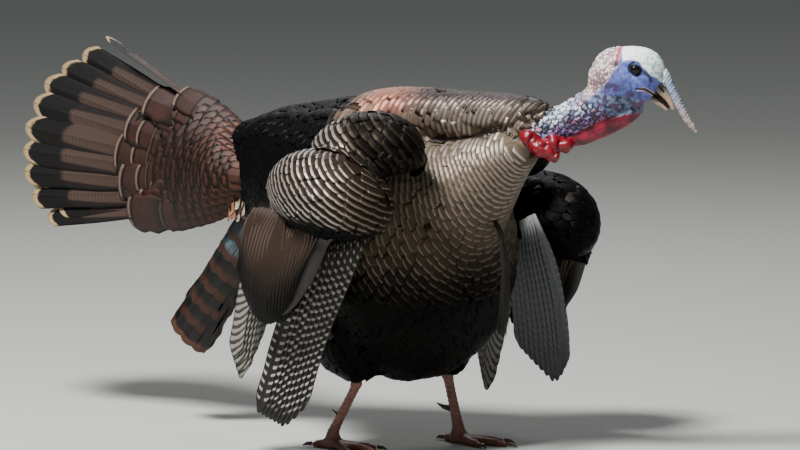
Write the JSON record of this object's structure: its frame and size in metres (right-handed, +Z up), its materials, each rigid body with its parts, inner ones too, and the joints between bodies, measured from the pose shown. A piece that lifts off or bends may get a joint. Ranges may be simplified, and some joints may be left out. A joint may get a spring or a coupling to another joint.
{
  "type": "wild turkey",
  "caption": "Tom wild turkey at life size in a half display walk: drooped wings, tail half fanned to one side, bare head and long snood turned to its left.",
  "frame": {"origin": "on the floor, under the middle of the model's own box", "axes": "+X from the tail towards the head, +Y to the bird's left, +Z up"},
  "size_m": [1.0776, 0.5328, 0.5426],
  "materials": {
    "bronze_plumage": "satin, iridescent copper and green over dark brown",
    "black_plumage": "velvet black with a faint sheen",
    "barred_plumage": "matt, black-brown barred with white",
    "chestnut_plumage": "satin chestnut with dark bars and buff tips",
    "bare_skin": "warty bare skin, white to blue",
    "red_skin": "smooth moist red skin",
    "horn": "satin horn",
    "leg_skin": "scaled skin",
    "eye": "wet, dark brown"
  },
  "bodies": {
    "root": {"beard": "black_plumage", "bill_lower": "horn", "bill_upper": "horn", "caruncles": "red_skin", "claw_left_hind": "horn", "claw_left_inner": "horn", "claw_left_middle": "horn", "claw_left_outer": "horn", "claw_right_hind": "horn", "claw_right_inner": "horn", "claw_right_middle": "horn", "claw_right_outer": "horn", "dewlap": "red_skin", "eye_left": "eye", "eye_right": "eye", "head": "bare_skin", "leg_left_foot": "leg_skin", "leg_left_shank": "leg_skin", "leg_left_thigh": "black_plumage", "leg_right_foot": "leg_skin", "leg_right_shank": "leg_skin", "leg_right_thigh": "black_plumage", "neck": "bronze_plumage", "neck_bare": "bare_skin", "rump": "black_plumage", "snood": "bare_skin", "spur_left": "horn", "spur_right": "horn", "tail": "chestnut_plumage", "tail_coverts": "chestnut_plumage", "tail_outer_feather": "chestnut_plumage", "trunk": "bronze_plumage", "undertail_coverts": "chestnut_plumage", "wing_left_coverts": "bronze_plumage", "wing_left_forearm": "bronze_plumage", "wing_left_primaries_1": "barred_plumage", "wing_left_primaries_2": "barred_plumage", "wing_left_primaries_3": "barred_plumage", "wing_left_primaries_4": "barred_plumage", "wing_left_primaries_5": "barred_plumage", "wing_left_secondaries": "barred_plumage", "wing_left_shoulder": "bronze_plumage", "wing_right_coverts": "bronze_plumage", "wing_right_forearm": "bronze_plumage", "wing_right_primaries_1": "barred_plumage", "wing_right_primaries_2": "barred_plumage", "wing_right_primaries_3": "barred_plumage", "wing_right_primaries_4": "barred_plumage", "wing_right_primaries_5": "barred_plumage", "wing_right_secondaries": "barred_plumage", "wing_right_shoulder": "bronze_plumage"}
  },
  "joints": []
}
